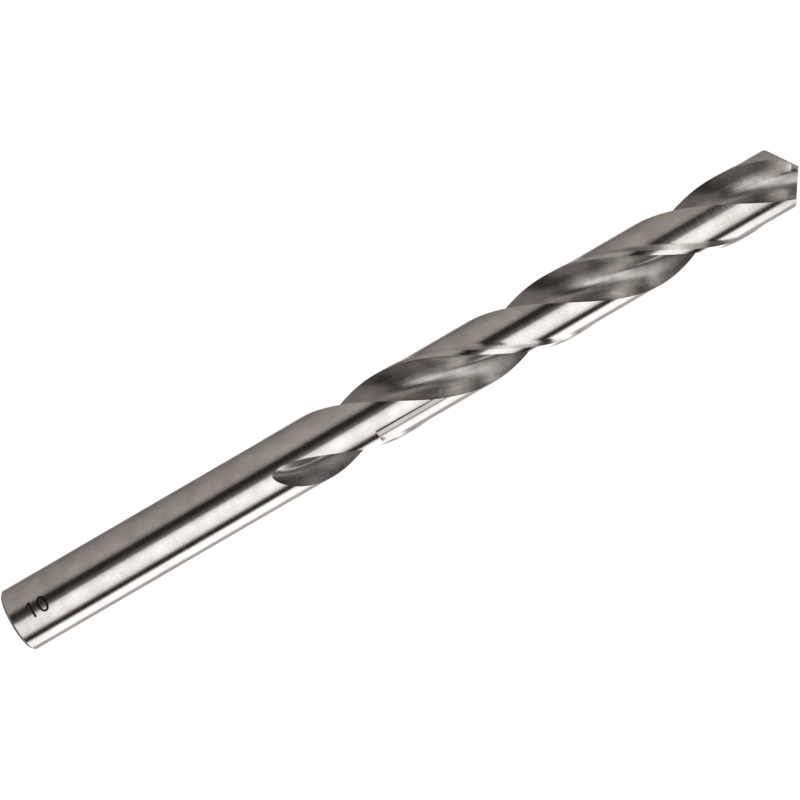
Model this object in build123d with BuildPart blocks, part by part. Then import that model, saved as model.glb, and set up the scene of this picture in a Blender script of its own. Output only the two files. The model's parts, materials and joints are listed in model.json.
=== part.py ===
from build123d import *
import math
import os

# Twist drill, ground from one round bar. The axis is +Z, the end of the shank is on z = 0 and the point is on
# top. Lengths are in millimetres. Angles in degrees run about +Z, the way the drill turns as it cuts.

# Bar
diameter = 10.0               # across the lips; the body tapers back from here to the shank
shank_diameter = 9.96
overall_length = 133.0
shank_chamfer = 0.4

# Flutes
flute_count = 2
flute_length = 90.1           # from the tip down to the end of the run-out
flute_lead = 57.0             # climb in one full turn of the right-hand helix
flute_opening = 86.7          # from a cutting edge round to the heel of the next land
flute_wheel_radius = 24.0     # the wheel that climbs out of the bar at the run-out
web_thickness = 1.7           # steel left between the flutes at the point
web_growth = 0.008            # extra web for each millimetre down from the tip
heel_sweep = 7.0              # how far the hollow of a flute reaches under the heel of the next land
wall_outer_share = 0.6        # both walls are held at this share of the radius
wall_inner_share = 0.35       # the wall behind the lip is also held here, further in
hollow_start_share = 0.3      # the far wall leaves the bottom at this share of the radius
hollow_start_sweep = 0.7      # and at this share of the sweep
rim_sweep_share = 0.8         # share of the sweep that the far wall gives back once it is outside the bar

# Lands
margin_width = 0.72           # the strip left at full diameter, which guides the drill
relief_depth = 0.18           # the rest of the land is ground this far below it
relief_setback = 16.85        # plain land between the end of the run-out and the start of the relief
relief_lag = 12.0             # the first flat cut of the relief trails the margin by this angle
relief_overlap = 3.0          # the flats cut this much under the relieved round, so that they meet in an edge

# Point
point_angle = 108.5
chisel_angle = 145.0          # from a lip to the chisel edge
flank_offset = 2.2            # side step of each grinding cone, which clears the steel behind its lip
lip_heading = -131.0          # where the first lip points, round the axis

# Gashes that thin the web at the chisel edge
gash_web = 0.8                # web left between them on the axis
gash_start = 0.6              # depth of their bottom below the tip, on the axis
gash_turn = 8.0               # turn of the wall of a gash away from its lip
gash_lean = 7.0               # lean of the wall
gash_slope = 45.0             # fall of the bottom towards the outside
gash_opening = 80.0           # from the wall round to the floor

station_turn = 12.0           # twist between the sections that a helical surface is drawn through
cutter_over_run = 1.0         # how far every cutter runs past the steel

radius = diameter / 2
shank_radius = shank_diameter / 2
half_web = web_thickness / 2
relief_radius = radius - relief_depth
cutter_reach = radius + cutter_over_run
cutter_top = overall_length + cutter_over_run
upright = (Align.CENTER, Align.CENTER, Align.MIN)


def polar(reach, angle):
    return Vector(reach, 0).rotate(Axis.Z, angle)


# Each cutter is drawn for the first lip, in a frame with x along that lip, y ahead of it and z up the axis.
# The lip lies at y = half_web, and its flank is a cone whose own axis stands square to the chisel edge.
cone_axis = polar(flank_offset, 270 - chisel_angle)
cone_slope = 1 / math.tan(math.radians(point_angle / 2))
cone_top = overall_length + cone_slope * flank_offset
lip_end = math.sqrt(radius**2 - half_web**2)


def lip_height(along_lip):
    return cone_top - cone_slope * (Vector(along_lip, half_web) - cone_axis).length


corner_height = lip_height(lip_end)
corner_angle = math.degrees(math.atan2(half_web, lip_end))
heel_angle = corner_angle + flute_opening
flute_middle = corner_angle + flute_opening / 2


def twist_to(height):
    # Turn of the helix on its way from the outer corner of a lip to this height.
    return 360 * (height - corner_height) / flute_lead


def stations(bottom, top):
    steps = math.ceil((twist_to(top) - twist_to(bottom)) / station_turn)
    return [bottom + (top - bottom) * step / steps for step in range(steps + 1)]


def twisted_plane(height, lift=0.0):
    # A level plane that turns with the helix and stands off the axis, towards the middle of the flute.
    foot = polar(lift, twist_to(height) + flute_middle)
    return Plane(origin=(foot.X, foot.Y, height), x_dir=polar(1, twist_to(height)), z_dir=(0, 0, 1))


# Run-out: the grinding wheel climbs out of the bar along its own radius.
full_lift = radius - half_web
flute_bottom = overall_length - flute_length
run_out_length = math.sqrt(flute_wheel_radius**2 - (flute_wheel_radius - full_lift)**2)
run_out_top = flute_bottom + run_out_length


def flute_lift(height):
    web_lift = max(0, web_growth * (overall_length - height) / 2)
    into_run_out = max(0, run_out_top - height)
    return web_lift + flute_wheel_radius - math.sqrt(flute_wheel_radius**2 - into_run_out**2)


def lip_wall(along_lip):
    # The wall that leaves the lip straight where the cone cuts it.
    return Vector(along_lip, half_web).rotate(Axis.Z, -twist_to(lip_height(along_lip)))


# Flute: the wall behind the lip, a bottom that touches the web, and a far wall hollowed under the next heel.
with BuildPart() as flute_cutter:
    for height in stations(flute_bottom, cutter_top):
        with BuildSketch(twisted_plane(height, flute_lift(height))):
            with BuildLine():
                section = Spline(
                    lip_wall(cutter_reach),
                    lip_wall(lip_end),
                    lip_wall(wall_outer_share * radius),
                    lip_wall(wall_inner_share * radius),
                    polar(half_web, flute_middle),
                    polar(hollow_start_share * radius, heel_angle + hollow_start_sweep * heel_sweep),
                    polar(wall_outer_share * radius, heel_angle + heel_sweep),
                    polar(radius, heel_angle),
                    polar(cutter_reach, heel_angle - rim_sweep_share * heel_sweep),
                )
                Polyline(section @ 1, polar(2 * cutter_reach, flute_middle), section @ 0)
            make_face()
    loft()

# Relief of a land: a flat ramp down from the margin, then the relieved round back past the heel.
relief_bottom = flute_bottom + relief_setback
margin_angle = math.degrees(margin_width / radius)
land_angle = 360 / flute_count - flute_opening
margin_back = corner_angle - margin_angle
relief_end = margin_back - land_angle
flat_reach = relief_radius * math.cos(math.radians(relief_overlap))
ramp_foot = margin_back - math.degrees(math.acos(flat_reach / radius))
ramp_length = math.sqrt(cutter_reach**2 - flat_reach**2)
flat_angle = margin_back - relief_lag
flat_height = flute_lead * (land_angle - margin_angle - relief_lag) / 360

with BuildPart() as relief_cutter:
    for height in stations(relief_bottom, cutter_top):
        with BuildSketch(twisted_plane(height)):
            with BuildLine():
                ramp = PolarLine(polar(flat_reach, ramp_foot), ramp_length, ramp_foot + 90)
                end_wall = Line(polar(half_web, relief_end), polar(cutter_reach, relief_end))
                Line(ramp @ 0, end_wall @ 0)
                ThreePointArc(ramp @ 1, polar(cutter_reach, (margin_back + relief_end) / 2), end_wall @ 1)
            make_face()
    loft()
    # The first cut is a flat, and the steel behind it is spared until the heel has passed.
    first_cut = twisted_plane(relief_bottom).rotated((0, 0, flat_angle)).offset(-cutter_over_run)
    with BuildSketch(first_cut):
        Rectangle(flat_reach, diameter, align=(Align.MIN, Align.MAX))
    extrude(amount=cutter_over_run + flat_height, mode=Mode.SUBTRACT)
    with Locations((0, 0, relief_bottom - cutter_over_run)):
        spared_length = cutter_top - relief_bottom + 2 * cutter_over_run
        Cylinder(relief_radius, spared_length, align=upright, mode=Mode.SUBTRACT)

# Flank: what lies above the grinding cone of the lip.
with BuildPart() as flank_cutter:
    cone_height = cone_slope * (cutter_reach + flank_offset)
    with Locations((0, 0, cone_top - cone_height)):
        Cylinder(cutter_reach, cone_height + cutter_over_run, align=upright)
    with Locations((cone_axis.X, cone_axis.Y, cone_top - cone_height)):
        Cone(cutter_reach + flank_offset, 0, cone_height, align=upright, mode=Mode.SUBTRACT)

# Gash: a notch from the web out into the flute. Its wall carries the inner end of the lip towards the axis.
with BuildPart() as gash_cutter:
    level_wall = Plane((0, gash_web / 2, overall_length - gash_start), x_dir=polar(1, gash_turn))
    wall = level_wall.rotated((gash_lean, gash_slope, 0))
    with BuildSketch(Plane(wall.origin, x_dir=wall.z_dir, z_dir=wall.x_dir)):
        with BuildLine():
            Polyline((0, 0), polar(diameter, 0), polar(diameter, -gash_opening), close=True)
        make_face()
    extrude(amount=radius, both=True)

with BuildPart() as twist_drill:
    Cylinder(shank_radius, flute_bottom, align=upright)
    with Locations((0, 0, flute_bottom)):
        Cone(shank_radius, radius, flute_length, align=upright)
    chamfer(twist_drill.faces().sort_by(Axis.Z)[0].edges(), shank_chamfer)
    with PolarLocations(0, flute_count, start_angle=lip_heading):
        add(flute_cutter.part, mode=Mode.SUBTRACT)
        add(relief_cutter.part, mode=Mode.SUBTRACT)
        add(flank_cutter.part, mode=Mode.SUBTRACT)
        add(gash_cutter.part, mode=Mode.SUBTRACT)

twist_drill.part.label = "twist_drill"
os.makedirs("parts", exist_ok=True)
export_step(twist_drill.part, "parts/twist_drill.step")
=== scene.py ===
import json
import math

import bmesh
import bpy
import numpy as np
from mathutils import Matrix, Vector

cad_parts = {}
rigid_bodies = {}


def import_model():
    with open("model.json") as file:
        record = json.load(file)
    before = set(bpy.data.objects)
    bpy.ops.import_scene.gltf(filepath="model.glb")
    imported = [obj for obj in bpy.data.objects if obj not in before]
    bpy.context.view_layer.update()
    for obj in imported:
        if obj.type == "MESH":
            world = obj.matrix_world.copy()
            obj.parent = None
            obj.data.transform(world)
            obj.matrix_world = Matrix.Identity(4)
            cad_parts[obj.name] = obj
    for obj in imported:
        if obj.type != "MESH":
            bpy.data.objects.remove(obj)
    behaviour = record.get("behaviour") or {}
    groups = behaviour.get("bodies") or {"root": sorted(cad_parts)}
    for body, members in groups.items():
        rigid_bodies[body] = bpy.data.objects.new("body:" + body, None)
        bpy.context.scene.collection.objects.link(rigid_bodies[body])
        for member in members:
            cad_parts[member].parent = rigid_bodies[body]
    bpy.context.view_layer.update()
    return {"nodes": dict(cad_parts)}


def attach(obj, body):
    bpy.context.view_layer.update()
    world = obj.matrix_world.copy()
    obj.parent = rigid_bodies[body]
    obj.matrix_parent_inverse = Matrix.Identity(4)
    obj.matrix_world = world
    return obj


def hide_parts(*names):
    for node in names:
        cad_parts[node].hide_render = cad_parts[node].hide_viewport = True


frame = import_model()
print("frame loaded, nodes:", sorted(frame["nodes"]))

mm = 0.001
samePoint = 1e-7  # points closer than this are one, in metres
seamReach = 2e-6  # the same for the seam under the point, where the booleans have rounded them
kinds = {"shank": 0, "flute": 1, "land": 2, "margin": 3, "end": 4, "flank": 5, "gash": 6, "seam": 7}

# The drill's form, in millimetres and degrees. Surfaces of one kind get one finish.
bitForm = {
    "diameter": 10.0,
    "shankDiameter": 9.96,
    "length": 133.0,
    "shankChamfer": 0.4,
    "fluteLength": 90.1,
    "lead": 57.0,
    "fluteOpening": 86.7,
    "wheelRadius": 24.0,
    "web": 1.7,
    "webGrowth": 0.008,
    "heelSweep": 7.0,
    "marginWidth": 0.72,
    "reliefDepth": 0.18,
    "reliefSetback": 16.85,
    "reliefLag": 12.0,
    "reliefOverlap": 3.0,
    "pointAngle": 108.5,
    "chiselAngle": 145.0,
    "flankOffset": 2.2,
    "lipHeading": -131.0,
    "gashWeb": 0.8,
    "gashStart": 0.6,
    "gashTurn": 8.0,
    "gashLean": 7.0,
    "gashSlope": 45.0,
    "gashOpening": 80.0,
    "wallOuterShare": 0.6,  # where the spline of a flute is held, as shares of the radius and of the sweep
    "wallInnerShare": 0.35,
    "hollowStartShare": 0.3,
    "hollowStartSweep": 0.7,
    "rimSweepShare": 0.8,
    "cutterOverRun": 1.0,  # how far the flute's line runs on past the steel
    "barOverRun": 0.5,  # bar left above the tip for the point to be cut from
    "tipBottom": 124.0,  # above this the mesh is a solid of its own until the point is cut
    "rowTwist": 2.2,  # twist between two rows of the mesh
    "runOutRows": 70,
    "runOutCrowding": 1.6,  # rows lie closer together towards the end of the run-out
    "shankRows": 30,
    "edgeLimit": 25,  # faces that meet at more than this angle get a crisp edge
    "flutePoints": 64,  # points across a flute
    "landPoints": (10, 5, 22, 5, 7),  # across full land, flat, relief, ramp and margin
}

radius = bitForm["diameter"] / 2
shankRadius = bitForm["shankDiameter"] / 2
halfWeb = bitForm["web"] / 2
reliefRadius = radius - bitForm["reliefDepth"]
fluteBottom = bitForm["length"] - bitForm["fluteLength"]
reliefBottom = fluteBottom + bitForm["reliefSetback"]
tipBottom = bitForm["tipBottom"]


def polar(reach, angle):
    return reach * np.exp(1j * np.radians(angle))


coneAxis = polar(bitForm["flankOffset"], 270 - bitForm["chiselAngle"])
coneSlope = 1 / math.tan(math.radians(bitForm["pointAngle"] / 2))
coneTop = bitForm["length"] + coneSlope * bitForm["flankOffset"]


def lipHeight(along):
    return coneTop - coneSlope * abs(complex(along, halfWeb) - coneAxis)


lipEnd = math.sqrt(radius**2 - halfWeb**2)
cornerHeight = lipHeight(lipEnd)
cornerAngle = math.degrees(math.atan2(halfWeb, lipEnd))
heelAngle = cornerAngle + bitForm["fluteOpening"]
fluteMiddle = cornerAngle + bitForm["fluteOpening"] / 2


def twistTo(height):
    return 360 * (height - cornerHeight) / bitForm["lead"]


def lipWall(along):
    return complex(along, halfWeb) * polar(1, -twistTo(lipHeight(along)))


def splineThrough(points, samples=60):
    # Cubic through all points, with the end tangents of a cubic through the first and last four.
    p = np.array(points, complex)
    t = np.concatenate([[0], np.cumsum(abs(np.diff(p)))])
    h = np.diff(t)
    n = len(p)

    def endSlope(at, ids):
        slope = 0
        for j in ids:
            others = [k for k in ids if k != j]
            weight = sum(
                np.prod([t[at] - t[m] for m in others if m != k]) for k in others
            ) / np.prod([t[j] - t[m] for m in others])
            slope += p[j] * weight
        return slope

    a, b = np.zeros((n, n)), np.zeros(n, complex)
    a[0, 0] = a[-1, -1] = 1
    b[0], b[-1] = endSlope(0, range(4)), endSlope(n - 1, range(n - 4, n))
    for i in range(1, n - 1):
        a[i, i - 1 : i + 2] = h[i], 2 * (h[i - 1] + h[i]), h[i - 1]
        b[i] = 3 * (h[i] * (p[i] - p[i - 1]) / h[i - 1] + h[i - 1] * (p[i + 1] - p[i]) / h[i])
    slopes = np.linalg.solve(a, b)
    line = []
    for i in range(n - 1):
        u = np.linspace(0, 1, samples, endpoint=i == n - 2)
        line.append(
            (2 * u**3 - 3 * u**2 + 1) * p[i]
            + (u**3 - 2 * u**2 + u) * h[i] * slopes[i]
            + (3 * u**2 - 2 * u**3) * p[i + 1]
            + (u**3 - u**2) * h[i] * slopes[i + 1]
        )
    return np.concatenate(line)


cutterReach = radius + bitForm["cutterOverRun"]
heelSweep = bitForm["heelSweep"]
fluteLine = splineThrough(
    [
        lipWall(cutterReach),
        lipWall(lipEnd),
        lipWall(bitForm["wallOuterShare"] * radius),
        lipWall(bitForm["wallInnerShare"] * radius),
        polar(halfWeb, fluteMiddle),
        polar(
            bitForm["hollowStartShare"] * radius,
            heelAngle + bitForm["hollowStartSweep"] * heelSweep,
        ),
        polar(bitForm["wallOuterShare"] * radius, heelAngle + heelSweep),
        polar(radius, heelAngle),
        polar(cutterReach, heelAngle - bitForm["rimSweepShare"] * heelSweep),
    ]
)

wheelRadius = bitForm["wheelRadius"]
runOutTop = fluteBottom + math.sqrt(wheelRadius**2 - (wheelRadius - radius + halfWeb) ** 2)
marginBack = cornerAngle - math.degrees(bitForm["marginWidth"] / radius)
flatReach = reliefRadius * math.cos(math.radians(bitForm["reliefOverlap"]))
rampFoot = marginBack - math.degrees(math.acos(flatReach / radius))
flatAngle = marginBack - bitForm["reliefLag"]


def fluteLift(height):
    webLift = max(0, bitForm["webGrowth"] * (bitForm["length"] - height) / 2)
    into = max(0, runOutTop - height)
    return webLift + wheelRadius - math.sqrt(wheelRadius**2 - into**2)


def barRadius(height):
    taper = max(0, height - fluteBottom) / bitForm["fluteLength"]
    return shankRadius + (radius - shankRadius) * min(1, taper)


def landRadius(angle, height, relieved):
    # Reach of a land at an angle from its own lip. The first flat of the relief runs straight up.
    bar = barRadius(height)
    r = np.full(np.shape(angle), bar)
    if not relieved:
        return r
    ramp = flatReach / np.cos(np.radians(np.clip(angle - rampFoot, -60, 60)))
    r = np.where(angle < marginBack, np.maximum(reliefRadius, ramp), r)
    r = np.where(angle < rampFoot, reliefRadius, r)
    behind = flatAngle - (twistTo(height) - twistTo(reliefBottom))
    flat = flatReach / np.cos(np.radians(np.clip(angle - behind, -60, 60)))
    r = np.where(angle < behind, np.clip(flat, reliefRadius, bar), r)
    return np.minimum(r, bar)


def crossing(line, clear):
    # First point of the line that is inside the land's outline.
    i = np.argmax(clear < 0)
    share = clear[i - 1] / (clear[i - 1] - clear[i])
    return i, line[i - 1] + share * (line[i] - line[i - 1])


def halfSection(height, relieved):
    # One flute and the land behind it, as complex points that turn with the helix. None where no flute
    # is cut.
    line = fluteLine + polar(fluteLift(height), fluteMiddle)
    angles = np.degrees(np.angle(line))
    clear = abs(line) - barRadius(height)
    half = len(line) // 2
    if not (clear < 0).any():
        return None
    clear[half:] = abs(line[half:]) - landRadius(angles[half:] - 180, height, relieved)
    if not (clear < 0).any():
        return None
    first, start = crossing(line, clear)
    last, end = crossing(line[::-1], clear[::-1])
    inside = np.concatenate([[start], line[first : len(line) - last], [end]])
    length = np.concatenate([[0], np.cumsum(abs(np.diff(inside)))])
    at = np.linspace(0, length[-1], bitForm["flutePoints"])
    flute = np.interp(at, length, inside.real) + 1j * np.interp(at, length, inside.imag)
    heel = np.degrees(np.angle(end)) - 180
    corner = np.degrees(np.angle(start))
    behind = flatAngle - max(0, twistTo(height) - twistTo(reliefBottom))
    breaks = [
        heel,
        behind - math.degrees(math.acos(flatReach / barRadius(height))),
        behind - bitForm["reliefOverlap"],
        rampFoot + bitForm["reliefOverlap"],
        marginBack,
        corner,
    ]
    breaks = np.clip(breaks, heel, corner)
    land = np.concatenate(
        [
            np.linspace(breaks[k], breaks[k + 1], count + 1)[1:]
            for k, count in enumerate(bitForm["landPoints"])
        ]
    )[:-1]
    return np.concatenate([flute, -polar(1, land) * landRadius(land, height, relieved)])


def fluteEnd():
    low, high = fluteBottom - 1, runOutTop
    for _ in range(50):
        middle = (low + high) / 2
        if halfSection(middle, False) is None:
            low = middle
        else:
            high = middle
    return high


def meshOfRows(name, rows, kindOf, capBottom=None, capTop=None):
    # Quads between rings of points, with flat ends where a kind is given for them.
    count = len(rows[0][1])
    verts = [(p.real * mm, p.imag * mm, height * mm) for height, ring in rows for p in ring]
    faces, faceKinds = [], []
    for r in range(len(rows) - 1):
        base = r * count
        for c in range(count):
            d = (c + 1) % count
            faces.append((base + c, base + d, base + count + d, base + count + c))
            faceKinds.append(kindOf(rows[r][0], rows[r + 1][0], c))
    if capBottom is not None:
        faces.append(tuple(range(count))[::-1])
        faceKinds.append(capBottom)
    if capTop is not None:
        faces.append(tuple(range((len(rows) - 1) * count, len(rows) * count)))
        faceKinds.append(capTop)
    made = bpy.data.meshes.new(name)
    made.from_pydata(verts, [], faces)
    made.polygons.foreach_set("material_index", faceKinds)
    bm = bmesh.new()
    bm.from_mesh(made)
    bmesh.ops.remove_doubles(bm, verts=bm.verts, dist=samePoint)
    bmesh.ops.dissolve_degenerate(bm, edges=bm.edges, dist=samePoint / 10)
    bm.to_mesh(made)
    bm.free()
    o = bpy.data.objects.new(name, made)
    bpy.context.scene.collection.objects.link(o)
    return o


justAbove = 1e-4  # a level this little above the run-out's end surely has its flutes


def bodyRows():
    runOutEnd = fluteEnd() + justAbove
    step = bitForm["lead"] * bitForm["rowTwist"] / 360
    top = bitForm["length"] + bitForm["barOverRun"]
    count, crowding = bitForm["runOutRows"], bitForm["runOutCrowding"]
    heights = [
        (runOutEnd + (runOutTop - runOutEnd) * (k / count) ** crowding, False) for k in range(count)
    ]
    for low, high, relieved in [
        (runOutTop, reliefBottom, False),
        (reliefBottom, tipBottom, True),
        (tipBottom, top, True),
    ]:
        steps = math.ceil((high - low) / step)
        heights += [(low + (high - low) * k / steps, relieved) for k in range(steps + 1)]
    rows = []
    for height, relieved in heights:
        half = halfSection(height, relieved)
        turned = half * polar(1, bitForm["lipHeading"] + twistTo(height))
        if rows and rows[-1][0] == height and height != reliefBottom:
            continue
        rows.append((height, np.concatenate([turned, -turned])))
    # The shank carries on from the first row, with its points spread evenly round towards its end.
    first = np.unwrap(np.angle(rows[0][1]))
    even = first.mean() - np.pi + 2 * np.pi * (np.arange(len(first)) + 0.5) / len(first)
    chamfer = bitForm["shankChamfer"]
    shank = [(0, (shankRadius - chamfer) * np.exp(1j * even))]
    for k in range(bitForm["shankRows"]):
        share = k / bitForm["shankRows"]
        height = chamfer + (runOutEnd - chamfer) * share
        shank.append((height, shankRadius * np.exp(1j * (even + (first - even) * share))))
    return shank + rows, runOutEnd


allRows, runOutEnd = bodyRows()
fluteSpan = bitForm["flutePoints"] - 1
landSpans = bitForm["landPoints"]
spanKinds = (
    [kinds["flute"]] * fluteSpan
    + [kinds["land"]] * (sum(landSpans) - landSpans[-1])
    + [kinds["margin"]] * landSpans[-1]
) * 2


def kindOf(low, high, column):
    if high < runOutEnd + 10 * justAbove:
        return kinds["end"] if high <= bitForm["shankChamfer"] else kinds["shank"]
    if spanKinds[column] != kinds["flute"] and high <= reliefBottom and low < reliefBottom:
        return kinds["shank"]
    return spanKinds[column]


seam = [height for height, ring in allRows].index(tipBottom)
lower = meshOfRows("drill_body", allRows[: seam + 1], kindOf, capBottom=kinds["end"])
tip = meshOfRows("tip", allRows[seam:], kindOf, capBottom=kinds["seam"], capTop=kinds["flank"])
print("body mesh:", len(lower.data.polygons) + len(tip.data.polygons), "faces")


def solidFrom(name, verts, faces, kind):
    m = bpy.data.meshes.new(name)
    m.from_pydata([tuple(c * mm for c in v) for v in verts], [], faces)
    m.polygons.foreach_set("material_index", [kind] * len(faces))
    bm = bmesh.new()
    bm.from_mesh(m)
    bmesh.ops.recalc_face_normals(bm, faces=bm.faces)
    bm.to_mesh(m)
    bm.free()
    o = bpy.data.objects.new(name, m)
    bpy.context.scene.collection.objects.link(o)
    return o


def flankCutter(turn, segments=240, rings=8):
    centre = coneAxis * polar(1, turn)
    reach = radius + bitForm["flankOffset"] + 2
    verts = [(centre.real, centre.imag, coneTop)]
    for k in range(1, rings + 1):
        rho = reach * k / rings
        for s in range(segments):
            p = centre + polar(rho, 360 * s / segments)
            verts.append((p.real, p.imag, coneTop - coneSlope * rho))
    lid = coneTop + 1
    for s in range(segments):
        p = centre + polar(reach, 360 * s / segments)
        verts.append((p.real, p.imag, lid))
    faces = []
    for s in range(segments):
        e = (s + 1) % segments
        faces.append((0, 1 + s, 1 + e))
        for k in range(rings):
            a = 1 + k * segments
            faces.append((a + s, a + segments + s, a + segments + e, a + e))
    faces.append(tuple(1 + rings * segments + s for s in range(segments)))
    return solidFrom("flankCutter", verts, faces, kinds["flank"])


def gashCutter(turn):
    spin = Matrix.Rotation(math.radians(turn), 3, "Z")
    level = Matrix.Rotation(math.radians(bitForm["gashTurn"]), 3, "Z")
    tilt = Matrix.Rotation(math.radians(bitForm["gashLean"]), 3, "X") @ Matrix.Rotation(
        math.radians(bitForm["gashSlope"]), 3, "Y"
    )
    wall = level @ tilt
    along, outward = wall @ Vector((1, 0, 0)), wall @ Vector((0, 0, 1))
    across = along.cross(outward)
    origin = Vector((0, bitForm["gashWeb"] / 2, bitForm["length"] - bitForm["gashStart"]))
    opening = math.radians(bitForm["gashOpening"])
    reach = bitForm["diameter"]
    verts = []
    for side in (-1, 1):
        for p in [(0, 0), (reach, 0), (reach * math.cos(opening), -reach * math.sin(opening))]:
            verts.append(spin @ (origin + outward * p[0] + across * p[1] + along * side * radius))
    faces = [(0, 1, 2), (5, 4, 3), (0, 3, 4, 1), (1, 4, 5, 2), (2, 5, 3, 0)]
    return solidFrom("gashCutter", [tuple(v) for v in verts], faces, kinds["gash"])


for turn in (bitForm["lipHeading"], bitForm["lipHeading"] + 180):
    for cutter in (flankCutter(turn), gashCutter(turn)):
        cut = tip.modifiers.new("cut", "BOOLEAN")
        cut.operation = "DIFFERENCE"
        cut.solver = "EXACT"
        cut.object = cutter
cutTip = bpy.data.meshes.new_from_object(tip.evaluated_get(bpy.context.evaluated_depsgraph_get()))
for o in [o for o in bpy.data.objects if o.name.startswith(("flankCutter", "gashCutter", "tip"))]:
    bpy.data.objects.remove(o)
print("point ground:", len(cutTip.polygons), "faces")

# Join the point to the body and close the seam between them.
bm = bmesh.new()
bm.from_mesh(lower.data)
bm.from_mesh(cutTip)
bmesh.ops.delete(bm, geom=[f for f in bm.faces if f.material_index == kinds["seam"]], context="FACES")
seamVerts = [v for v in bm.verts if abs(v.co.z - tipBottom * mm) < seamReach]
bmesh.ops.remove_doubles(bm, verts=seamVerts, dist=seamReach)
bm.to_mesh(lower.data)
bm.free()
drill, finished = lower, lower.data
triangles = sum(len(p.vertices) - 2 for p in finished.polygons)
print("drill mesh:", len(finished.vertices), "points,", triangles, "triangles")


def markEdges(mesh):
    # Smooth faces, with a crisp edge wherever two ground surfaces meet.
    bm = bmesh.new()
    bm.from_mesh(mesh)
    limit = math.radians(bitForm["edgeLimit"])
    for face in bm.faces:
        face.smooth = True
    for edge in bm.edges:
        if len(edge.link_faces) == 2:
            a, b = edge.link_faces
            sameKind = a.material_index == b.material_index
            edge.smooth = sameKind and a.normal.angle(b.normal, 0) < limit
    bm.to_mesh(mesh)
    bm.free()


markEdges(finished)


def roundNormals(mesh):
    # The turned surfaces get the exact normals of a round bar, so that reflections run straight along them.
    corners = np.zeros((len(mesh.loops), 3))
    points = np.empty(len(mesh.vertices) * 3)
    mesh.vertices.foreach_get("co", points)
    points = points.reshape(-1, 3) / mm
    reach = np.hypot(points[:, 0], points[:, 1])
    outward = points * [1, 1, 0] / np.maximum(reach, 1e-9)[:, None]
    relieved = abs(reach - reliefRadius) < 1e-4
    for face in mesh.polygons:
        ids = list(face.vertices)
        turned = face.material_index in (kinds["shank"], kinds["margin"])
        if turned or (face.material_index == kinds["land"] and relieved[ids].all()):
            corners[list(face.loop_indices)] = outward[ids]
    mesh.normals_split_custom_set(corners)


roundNormals(finished)
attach(drill, "root")
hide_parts("twist_drill")
print("drill placed on the frame")


def addNode(tree, kind, inputs=None, **settings):
    # A node with its settings, and with a value or a link for each named input.
    node = tree.nodes.new(kind)
    for key, value in settings.items():
        setattr(node, key, value)
    for key, value in (inputs or {}).items():
        if isinstance(value, bpy.types.NodeSocket):
            tree.links.new(value, node.inputs[key])
        else:
            node.inputs[key].default_value = value
    return node


def newGroup(name, inputs, outputs):
    # An empty node group with its named inputs (kind, first value) and outputs.
    tree = bpy.data.node_groups.new(name, "ShaderNodeTree")
    for label, (kind, value) in inputs.items():
        socket = tree.interface.new_socket(name=label, in_out="INPUT", socket_type=kind)
        if value is not None:
            socket.default_value = value
    for label, kind in outputs.items():
        tree.interface.new_socket(name=label, in_out="OUTPUT", socket_type=kind)
    return tree, tree.nodes.new("NodeGroupInput").outputs, tree.nodes.new("NodeGroupOutput").inputs


def helixSpaceGroup():
    # Turns each level back by the twist of the flutes, so that what runs along the helix stands still.
    tree, given, result = newGroup(
        "helixSpace",
        {"Vector": ("NodeSocketVector", None), "Turn per mm": ("NodeSocketFloat", 0.0)},
        {"Vector": "NodeSocketVector"},
    )
    inMm = addNode(
        tree, "ShaderNodeVectorMath", {0: given["Vector"], 1: [1 / mm] * 3}, operation="MULTIPLY"
    )
    split = addNode(tree, "ShaderNodeSeparateXYZ", {0: inMm.outputs[0]})
    turn = addNode(
        tree,
        "ShaderNodeMath",
        {0: split.outputs["Z"], 1: given["Turn per mm"]},
        operation="MULTIPLY",
    )
    turned = addNode(
        tree,
        "ShaderNodeVectorRotate",
        {"Vector": inMm.outputs[0], "Angle": turn.outputs[0]},
        rotation_type="Z_AXIS",
        invert=True,
    )
    tree.links.new(turned.outputs[0], result["Vector"])
    return tree


def grindGrainGroup():
    # Scratches left by a wheel: noise drawn out along the way the wheel ran, with a few that cut deeper.
    tree, given, result = newGroup(
        "grindGrain",
        {
            "Vector": ("NodeSocketVector", None),
            "Width": ("NodeSocketFloat", 0.1),
            "Length": ("NodeSocketFloat", 5.0),
            "Deep Share": ("NodeSocketFloat", 0.3),
        },
        {"Lines": "NodeSocketFloat"},
    )
    across = addNode(tree, "ShaderNodeMath", {0: 1.0, 1: given["Width"]}, operation="DIVIDE")
    along = addNode(tree, "ShaderNodeMath", {0: 1.0, 1: given["Length"]}, operation="DIVIDE")
    spread = addNode(
        tree,
        "ShaderNodeCombineXYZ",
        {"X": across.outputs[0], "Y": across.outputs[0], "Z": along.outputs[0]},
    )
    drawn = addNode(
        tree,
        "ShaderNodeVectorMath",
        {0: given["Vector"], 1: spread.outputs[0]},
        operation="MULTIPLY",
    )
    fine = addNode(
        tree,
        "ShaderNodeTexNoise",
        {"Vector": drawn.outputs[0], "Scale": 1.0, "Detail": 5.0, "Roughness": 0.62},
    )
    coarse = addNode(
        tree,
        "ShaderNodeTexNoise",
        {"Vector": drawn.outputs[0], "Scale": 0.27, "Detail": 3.0, "Roughness": 0.7},
    )
    deep = addNode(
        tree,
        "ShaderNodeMapRange",
        {"Value": coarse.outputs[0], "From Min": 0.38, "From Max": 0.62},
        interpolation_type="SMOOTHSTEP",
    )
    both = addNode(
        tree,
        "ShaderNodeMix",
        {"Factor": given["Deep Share"], 2: fine.outputs[0], 3: deep.outputs[0]},
        data_type="FLOAT",
    )
    tree.links.new(both.outputs[0], result["Lines"])
    return tree


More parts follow.
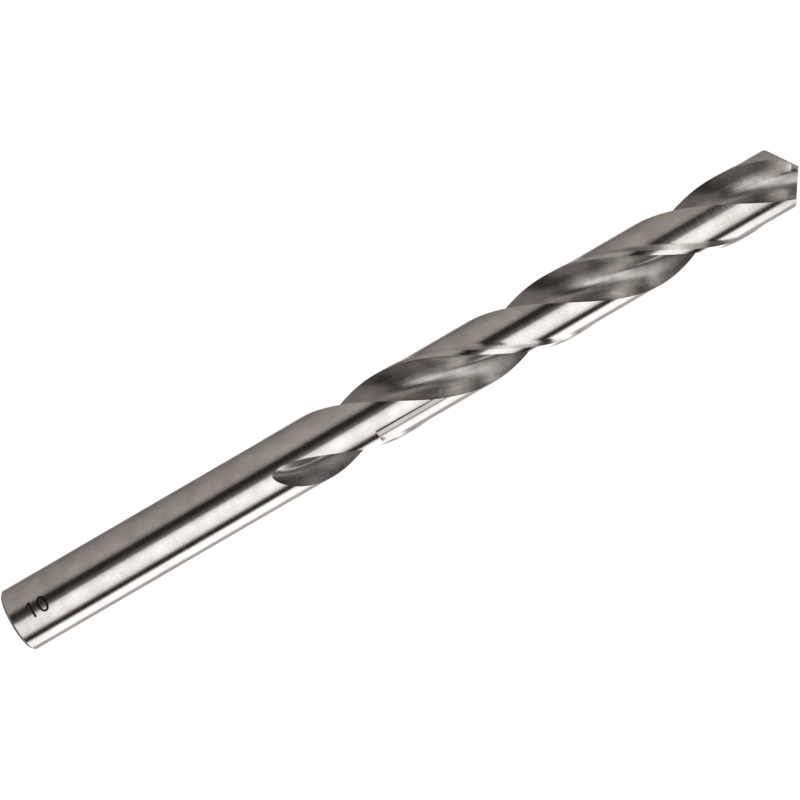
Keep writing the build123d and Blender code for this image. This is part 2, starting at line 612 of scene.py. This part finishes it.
def steelToneGroup():
    # Cloudy drift of the steel's colour, with small specks of oil and dust.
    tree, given, result = newGroup(
        "steelTone",
        {
            "Vector": ("NodeSocketVector", None),
            "Light": ("NodeSocketColor", (0.8, 0.8, 0.8, 1)),
            "Dark": ("NodeSocketColor", (0.6, 0.6, 0.6, 1)),
            "Cloud Size": ("NodeSocketFloat", 4.0),
            "Speck Size": ("NodeSocketFloat", 0.3),
            "Speck Share": ("NodeSocketFloat", 0.3),
        },
        {"Color": "NodeSocketColor"},
    )
    masks = []
    for size, detail, low, high in (
        ("Cloud Size", 3.0, 0.36, 0.64),
        ("Speck Size", 2.0, 0.52, 0.72),
    ):
        step = addNode(tree, "ShaderNodeMath", {0: 1.0, 1: given[size]}, operation="DIVIDE")
        noise = addNode(
            tree,
            "ShaderNodeTexNoise",
            {"Vector": given["Vector"], "Scale": step.outputs[0], "Detail": detail, "Roughness": 0.6},
        )
        masks.append(
            addNode(
                tree,
                "ShaderNodeMapRange",
                {"Value": noise.outputs[0], "From Min": low, "From Max": high},
            ).outputs[0]
        )
    specks = addNode(
        tree, "ShaderNodeMath", {0: masks[1], 1: given["Speck Share"]}, operation="MULTIPLY"
    )
    share = addNode(
        tree, "ShaderNodeMath", {0: masks[0], 1: specks.outputs[0]}, operation="ADD", use_clamp=True
    )
    mixed = addNode(
        tree,
        "ShaderNodeMix",
        {"Factor": share.outputs[0], "A": given["Light"], "B": given["Dark"]},
        data_type="RGBA",
    )
    tree.links.new(mixed.outputs["Result"], result["Color"])
    return tree


def edgeWearAndGlintGroup():
    # Bare bright steel on the corners, where handling and cutting have polished them, and a painted
    # highlight along the same edges.
    tree, given, result = newGroup(
        "edgeWearAndGlint",
        {
            "Vector": ("NodeSocketVector", None),
            "Start": ("NodeSocketFloat", 0.53),
            "Full": ("NodeSocketFloat", 0.6),
            "Broken": ("NodeSocketFloat", 0.4),
        },
        {"Mask": "NodeSocketFloat"},
    )
    shape = tree.nodes.new("ShaderNodeNewGeometry")
    corner = addNode(
        tree,
        "ShaderNodeMapRange",
        {"Value": shape.outputs["Pointiness"], "From Min": given["Start"], "From Max": given["Full"]},
    )
    noise = addNode(
        tree, "ShaderNodeTexNoise", {"Vector": given["Vector"], "Scale": 1.3, "Detail": 4.0}
    )
    kept = addNode(
        tree, "ShaderNodeMath", {0: noise.outputs[0], 1: given["Broken"]}, operation="MULTIPLY"
    )
    wornAndGlint = addNode(
        tree,
        "ShaderNodeMath",
        {0: corner.outputs[0], 1: kept.outputs[0]},
        operation="SUBTRACT",
        use_clamp=True,
    )
    tree.links.new(wornAndGlint.outputs[0], result["Mask"])
    return tree


groups = {
    "space": helixSpaceGroup(),
    "grain": grindGrainGroup(),
    "tone": steelToneGroup(),
    "wearAndGlint": edgeWearAndGlintGroup(),
}

# One finish for each kind of surface. Widths and lengths of the grinding lines are in millimetres, and
# the turn is the share of the flutes' twist that they follow.
finishes = {
    "shank": {
        "light": (0.93, 0.91, 0.89),
        "dark": (0.77, 0.735, 0.715),
        "roughness": (0.10, 0.17),
        "lines": (2.5, 0.09),
        "turn": 0.0,
        "bump": 0.10,
        "wornAndGlint": 0.5,
    },
    "flute": {
        "light": (0.80, 0.765, 0.745),
        "dark": (0.50, 0.475, 0.46),
        "roughness": (0.23, 0.36),
        "lines": (0.16, 9.0),
        "turn": 1.0,
        "bump": 0.45,
        "wornAndGlint": 0.9,
    },
    "land": {
        "light": (0.93, 0.91, 0.89),
        "dark": (0.77, 0.735, 0.715),
        "roughness": (0.10, 0.17),
        "lines": (2.5, 0.09),
        "turn": 0.0,
        "bump": 0.10,
        "wornAndGlint": 0.9,
    },
    "margin": {
        "light": (0.93, 0.91, 0.89),
        "dark": (0.84, 0.82, 0.80),
        "roughness": (0.08, 0.14),
        "lines": (1.6, 0.07),
        "turn": 0.0,
        "bump": 0.06,
        "wornAndGlint": 0.9,
    },
    "end": {
        "light": (0.62, 0.60, 0.58),
        "dark": (0.42, 0.40, 0.385),
        "roughness": (0.22, 0.34),
        "lines": (1.2, 0.06),
        "turn": 0.0,
        "bump": 0.2,
        "wornAndGlint": 0.6,
    },
    "flank": {
        "light": (0.72, 0.70, 0.68),
        "dark": (0.52, 0.50, 0.485),
        "roughness": (0.2, 0.32),
        "lines": (0.07, 0.9),
        "turn": 0.0,
        "bump": 0.25,
        "wornAndGlint": 1.0,
    },
    "gash": {
        "light": (0.82, 0.80, 0.78),
        "dark": (0.62, 0.60, 0.585),
        "roughness": (0.16, 0.26),
        "lines": (0.06, 1.4),
        "turn": 0.0,
        "bump": 0.2,
        "wornAndGlint": 1.0,
    },
}


bareSteelAndGlint = (0.95, 0.93, 0.91, 1)  # colour of polished corners, and of the painted highlight along them
scratchDepth = 0.02 * mm


def steelFinish(name, look):
    made = bpy.data.materials.new(name)
    made.use_nodes = True
    tree = made.node_tree
    shader = tree.nodes["Principled BSDF"]
    shader.inputs["Metallic"].default_value = 1.0
    place = tree.nodes.new("ShaderNodeTexCoord").outputs["Object"]

    def useGroup(key, values):
        return addNode(tree, "ShaderNodeGroup", values, node_tree=groups[key]).outputs

    turnPerMm = look["turn"] * 2 * math.pi / bitForm["lead"]
    along = useGroup("space", {"Vector": place, "Turn per mm": turnPerMm})["Vector"]
    width, length = look["lines"]
    grain = useGroup("grain", {"Vector": along, "Width": width, "Length": length})
    tone = useGroup(
        "tone", {"Vector": along, "Light": (*look["light"], 1), "Dark": (*look["dark"], 1)}
    )
    wearAndGlint = useGroup("wearAndGlint", {"Vector": along})["Mask"]
    # The corner mask mixes in bright steel: worn edges, and a painted highlight along them.
    bareAndGlint = addNode(
        tree,
        "ShaderNodeMix",
        {"A": tone["Color"], "B": bareSteelAndGlint},
        data_type="RGBA",
    )
    wornAndGlintShare = addNode(tree, "ShaderNodeMath", {0: wearAndGlint, 1: look["wornAndGlint"]}, operation="MULTIPLY")
    tree.links.new(wornAndGlintShare.outputs[0], bareAndGlint.inputs["Factor"])
    tree.links.new(bareAndGlint.outputs["Result"], shader.inputs["Base Color"])
    smooth, rough = look["roughness"]
    spread = addNode(
        tree,
        "ShaderNodeMapRange",
        {
            "Value": grain["Lines"],
            "From Min": 0.2,
            "From Max": 0.8,
            "To Min": smooth,
            "To Max": rough,
        },
    )
    tree.links.new(spread.outputs[0], shader.inputs["Roughness"])
    bump = addNode(
        tree,
        "ShaderNodeBump",
        {"Height": grain["Lines"], "Strength": look["bump"], "Distance": scratchDepth},
    )
    tree.links.new(bump.outputs[0], shader.inputs["Normal"])
    return made


faceKinds = [face.material_index for face in finished.polygons]
finished.materials.clear()
for name in finishes:
    finished.materials.append(steelFinish(name + "Steel", finishes[name]))
finished.polygons.foreach_set("material_index", faceKinds)
print("finishes:", len(finished.materials))

# Plain size number, marked dark on the shank.
sizeMark = {
    "text": "10",
    "height": 2.46,
    "start": 3.55,  # from the end of the shank to the first figure
    "heading": -94.4,  # where the middle of the figures faces, round the axis
    "proud": 0.004,
    "strip": 0.12,  # width of the strips that bend the figures round the shank
    "flag": (0.42, 0.42, 0.3),  # reach back, drop and width of the short stroke on the one
    "light": (0.07, 0.062, 0.055),
    "dark": (0.035, 0.03, 0.028),
    "roughness": (0.35, 0.55),
    "lines": (0.2, 0.2),
    "turn": 0.0,
    "bump": 0.3,
    "wornAndGlint": 0.0,
}


def makeSizeMark():
    font = bpy.data.curves.new("size_mark", "FONT")
    font.body = sizeMark["text"]
    writing = bpy.data.objects.new("writing", font)
    flat = bpy.data.meshes.new_from_object(writing)
    bpy.data.objects.remove(writing)
    bm = bmesh.new()
    bm.from_mesh(flat)
    low, high = (Vector(pick(v.co[k] for v in bm.verts) for k in range(3)) for pick in (min, max))
    scale = sizeMark["height"] / (high.y - low.y)
    for v in bm.verts:
        v.co = (v.co - low) * scale
    # The font's one is a bare stroke, so it gets its flag here.
    top, (back, drop, width) = sizeMark["height"], sizeMark["flag"]
    flag = [(0, top), (-back, top - drop), (-back, top - drop - width), (0, top - width)]
    bm.faces.new([bm.verts.new((x, y, 0)) for x, y in reversed(flag)])
    step = sizeMark["strip"]
    for k in range(1, math.ceil(sizeMark["height"] / step)):
        everything = bm.verts[:] + bm.edges[:] + bm.faces[:]
        bmesh.ops.bisect_plane(bm, geom=everything, plane_co=(0, k * step, 0), plane_no=(0, 1, 0))
    reach = shankRadius + sizeMark["proud"]
    middle = math.radians(sizeMark["heading"])
    for v in bm.verts:
        angle = middle - (v.co.y - sizeMark["height"] / 2) / reach
        height = sizeMark["start"] + v.co.x
        v.co = Vector((reach * math.cos(angle), reach * math.sin(angle), height)) * mm
    bmesh.ops.remove_doubles(bm, verts=bm.verts, dist=samePoint / 10)
    bmesh.ops.triangulate(bm, faces=bm.faces)
    bm.to_mesh(flat)
    bm.free()
    flat.materials.clear()
    flat.materials.append(steelFinish("etchedSteel", sizeMark))
    mark = bpy.data.objects.new("size_mark", flat)
    bpy.context.scene.collection.objects.link(mark)
    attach(mark, "root")


makeSizeMark()
print("size number marked")

# Camera in millimetres and degrees, and the slopes at which one part of the studio gives way to the
# next, as sines.
studio = {
    "cameraDistance": 275.0,
    "cameraHeight": 65.03,
    "cameraSide": 0.152,
    "roll": 30.18,
    "lens": 84.0,
    "dark": 0.035,  # level of what is steeply above
    "aboveStart": (0.2, 0.28),
    "aboveEnd": (0.66, 0.82),
    "belowStart": (0.22, 0.36),
    "floorReach": 0.6,  # metres from the middle of the floor to its sides
    "floorDrop": 0.0001,  # metres that the floor lies below the drill
    "floorColor": (0.92, 0.92, 0.92, 1),
    "floorGlow": 1.0,
}

# Soft light all the way round the drill, as pairs of angle from the camera's side and brightness. The
# first row is level with the drill. The others are well above and below it, which only the flutes
# reflect.
surroundings = {
    "beside": [
        (-180, 0.75),
        (-160, 0.50),
        (-146, 0.16),
        (-120, 0.23),
        (-80, 0.31),
        (-48, 0.35),
        (-38, 0.28),
        (-27, 0.02),
        (-14, 0.02),
        (-8, 0.065),
        (2, 0.16),
        (9, 0.90),
        (24, 1.12),
        (44, 1.05),
        (57, 0.84),
        (66, 0.17),
        (71, 0.02),
        (83, 0.03),
        (88, 0.62),
        (93, 1.20),
        (120, 1.25),
        (130, 0.6),
        (140, 0.36),
        (152, 0.45),
        (180, 0.75),
    ],
    "above": [
        (-180, 0.3),
        (-90, 0.2),
        (-60, 0.12),
        (-35, 0.18),
        (-23, 0.28),
        (-14, 0.65),
        (-4, 0.95),
        (6, 0.95),
        (16, 0.75),
        (28, 0.55),
        (42, 0.4),
        (54, 0.34),
        (66, 0.1),
        (88, 0.08),
        (105, 0.3),
        (180, 0.3),
    ],
    "below": [
        (-180, 0.3),
        (-90, 0.25),
        (-57, 0.22),
        (-28, 0.2),
        (-18, 0.07),
        (-9, 0.02),
        (14, 0.01),
        (27, 0.02),
        (36, 0.05),
        (57, 0.1),
        (70, 0.05),
        (90, 0.3),
        (180, 0.3),
    ],
}


def warmed(level):
    # The dimmer parts of the studio are a little warmer than the bright ones.
    return (level, level * (0.87 + 0.13 * level), level * (0.81 + 0.16 * level), 1)


def studioWorld():
    world = bpy.data.worlds.new("studio")
    world.use_nodes = True
    tree = world.node_tree
    tree.nodes.clear()
    out = tree.nodes.new("ShaderNodeOutputWorld")
    way = tree.nodes.new("ShaderNodeTexCoord").outputs["Generated"]
    split = addNode(tree, "ShaderNodeSeparateXYZ", {0: way})
    towards = addNode(
        tree, "ShaderNodeMath", {0: split.outputs["Y"], 1: -1.0}, operation="MULTIPLY"
    )
    azimuth = addNode(
        tree, "ShaderNodeMath", {0: split.outputs["X"], 1: towards.outputs[0]}, operation="ARCTAN2"
    )
    share = addNode(
        tree,
        "ShaderNodeMapRange",
        {"Value": azimuth.outputs[0], "From Min": -math.pi, "From Max": math.pi},
    )
    ramps = {}
    for band, strips in surroundings.items():
        ramp = addNode(tree, "ShaderNodeValToRGB", {0: share.outputs[0]})
        while len(ramp.color_ramp.elements) < len(strips):
            ramp.color_ramp.elements.new(0.5)
        for element, (angle, level) in zip(ramp.color_ramp.elements, strips):
            element.position = (angle + 180) / 360
            element.color = warmed(level)
        ramps[band] = ramp.outputs[0]
    dark = studio["dark"]
    shaded = ramps["beside"]
    for far, sign, span in (
        (ramps["above"], 1, studio["aboveStart"]),
        (ramps["below"], -1, studio["belowStart"]),
        ((dark, dark * 0.95, dark * 0.9, 1), 1, studio["aboveEnd"]),
    ):
        steep = addNode(
            tree,
            "ShaderNodeMapRange",
            {"Value": split.outputs["Z"], "From Min": sign * span[0], "From Max": sign * span[1]},
            interpolation_type="SMOOTHSTEP",
        )
        shaded = addNode(
            tree,
            "ShaderNodeMix",
            {"Factor": steep.outputs[0], "A": shaded, "B": far},
            data_type="RGBA",
        ).outputs["Result"]
    seen = addNode(tree, "ShaderNodeBackground", {0: shaded})
    plain = addNode(tree, "ShaderNodeBackground", {0: (1, 1, 1, 1)})
    path = tree.nodes.new("ShaderNodeLightPath")
    mix = addNode(
        tree,
        "ShaderNodeMixShader",
        {0: path.outputs["Is Camera Ray"], 1: seen.outputs[0], 2: plain.outputs[0]},
    )
    tree.links.new(mix.outputs[0], out.inputs[0])
    return world


bpy.context.scene.world = studioWorld()

floorMesh = bpy.data.meshes.new("floor")
half, sunk = studio["floorReach"], studio["floorDrop"]
corners = [(-half, -half), (half, -half), (half, half), (-half, half)]
floorMesh.from_pydata([(x, y, -sunk) for x, y in corners], [], [(0, 1, 2, 3)])
floor = bpy.data.objects.new("floor", floorMesh)
bpy.context.scene.collection.objects.link(floor)
floorPaint = bpy.data.materials.new("floorPaint")
floorPaint.use_nodes = True
paint = floorPaint.node_tree.nodes["Principled BSDF"].inputs
paint["Base Color"].default_value = studio["floorColor"]
paint["Roughness"].default_value = 0.9
paint["Emission Color"].default_value = (1, 1, 1, 1)
paint["Emission Strength"].default_value = studio["floorGlow"]
floorMesh.materials.append(floorPaint)
floor.visible_glossy = False

# The camera looks square at the drill and is rolled, so that the drill lies aslant in the frame.
camData = bpy.data.cameras.new("camera")
camData.lens = studio["lens"]
camData.sensor_width = 36
camData.clip_start = 0.01
camera = bpy.data.objects.new("camera", camData)
bpy.context.scene.collection.objects.link(camera)
roll = math.radians(studio["roll"])
axes = Matrix(
    (
        (math.sin(roll), -math.cos(roll), 0),
        (0, 0, -1),
        (math.cos(roll), math.sin(roll), 0),
    )
)
place = Vector((studio["cameraSide"], -studio["cameraDistance"], studio["cameraHeight"])) * mm
camera.matrix_world = Matrix.Translation(place) @ axes.to_4x4()
bpy.context.scene.camera = camera
bpy.context.scene.view_settings.view_transform = "Standard"
print("studio ready")
